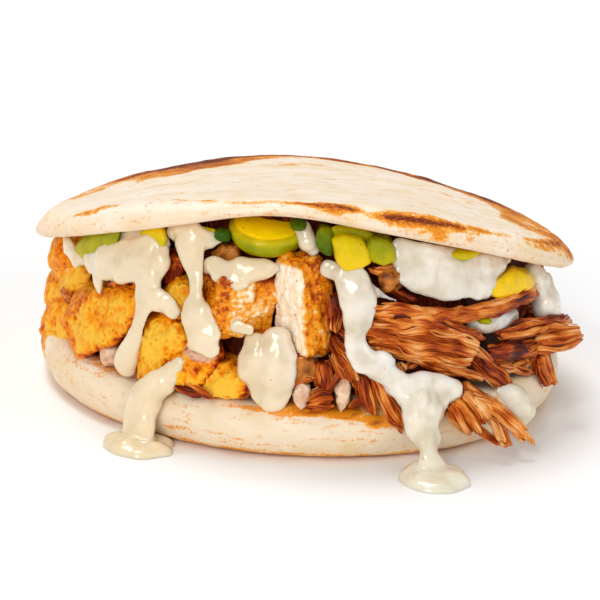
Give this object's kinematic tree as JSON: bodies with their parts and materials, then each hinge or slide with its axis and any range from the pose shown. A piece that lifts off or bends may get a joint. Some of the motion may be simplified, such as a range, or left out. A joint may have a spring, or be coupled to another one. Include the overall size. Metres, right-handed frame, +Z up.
{
  "type": "stuffed arepa",
  "caption": "Round corn bread split across and filled with fried and grilled chicken, shredded beef, avocado, onion and mushroom under thick white sauce that drips from its open mouth.",
  "frame": {"origin": "on the flat underside of the lower half of the bread, next to its middle, where it rests on a plate or table", "axes": "+Z up through both halves of the bread, -Y out of the open mouth where the filling shows, +X to the right as one looks into the mouth, the side where the beef hangs out"},
  "size_m": [0.124, 0.1308, 0.0556],
  "materials": {
    "bread": "pale corn bread, matte, with brown toast marks and a slightly glossy edge",
    "packed_filling": "dark moist mix of shredded beef and sauce",
    "fried_chicken": "golden orange batter, rough and a little oily",
    "grilled_chicken": "pale cut meat with a browned, peppered crust",
    "beef": "moist stewed shreds, brown with orange highlights",
    "avocado_flesh": "ripe yellow flesh, moist",
    "avocado_rim": "green flesh next to the skin, moist",
    "onion": "soft translucent onion",
    "mushroom": "cooked brown mushroom, moist",
    "sauce": "thick white sauce, glossy"
  },
  "bodies": {
    "root": {"bread_lower": "bread", "bread_upper": "bread", "filling_core": "packed_filling", "fried_large": "fried_chicken", "fried_middle": "fried_chicken", "fried_low": "fried_chicken", "fried_low_right": "fried_chicken", "fried_middle_upper": "fried_chicken", "fried_edge_lower": "fried_chicken", "fried_edge_upper": "fried_chicken", "fried_peak": "fried_chicken", "fried_bit_high": "fried_chicken", "grilled_slab": "grilled_chicken", "grilled_cube": "grilled_chicken", "beef_roll": "beef", "beef_bundle": "beef", "beef_over_bundle": "beef", "beef_under_bundle": "beef", "beef_right_tip": "beef", "beef_right_upper": "beef", "beef_right_lower": "beef", "beef_end_right": "beef", "beef_diagonal": "beef", "beef_dark_right": "beef", "beef_lump_low": "beef", "beef_mass_low": "beef", "beef_orange_middle": "beef", "beef_orange_low": "beef", "beef_dark_middle": "beef", "beef_upright": "beef", "shreds_middle": "beef", "strand_long": "beef", "strand_short": "beef", "strip_long_upper": "beef", "strip_long_lower": "beef", "strip_short": "beef", "avocado_round": "avocado_rim", "avocado_skin_piece": "avocado_rim", "avocado_skin_arc": "avocado_rim", "avocado_cube": "avocado_rim", "avocado_slice_left": "avocado_rim", "avocado_chunk": "avocado_flesh", "avocado_wedge": "avocado_flesh", "avocado_piece_left": "avocado_flesh", "onion_strip": "onion", "onion_right": "onion", "mushroom_left": "mushroom", "mushroom_round": "mushroom", "mushroom_middle": "mushroom", "sauce_left": "sauce", "sauce_middle": "sauce", "sauce_drip_left": "sauce", "sauce_bulge_middle": "sauce", "sauce_right": "sauce", "sauce_upper_right": "sauce", "sauce_drip_right": "sauce", "sauce_right_edge": "sauce", "sauce_on_cube": "sauce", "sauce_upper_middle": "sauce"}
  },
  "joints": []
}
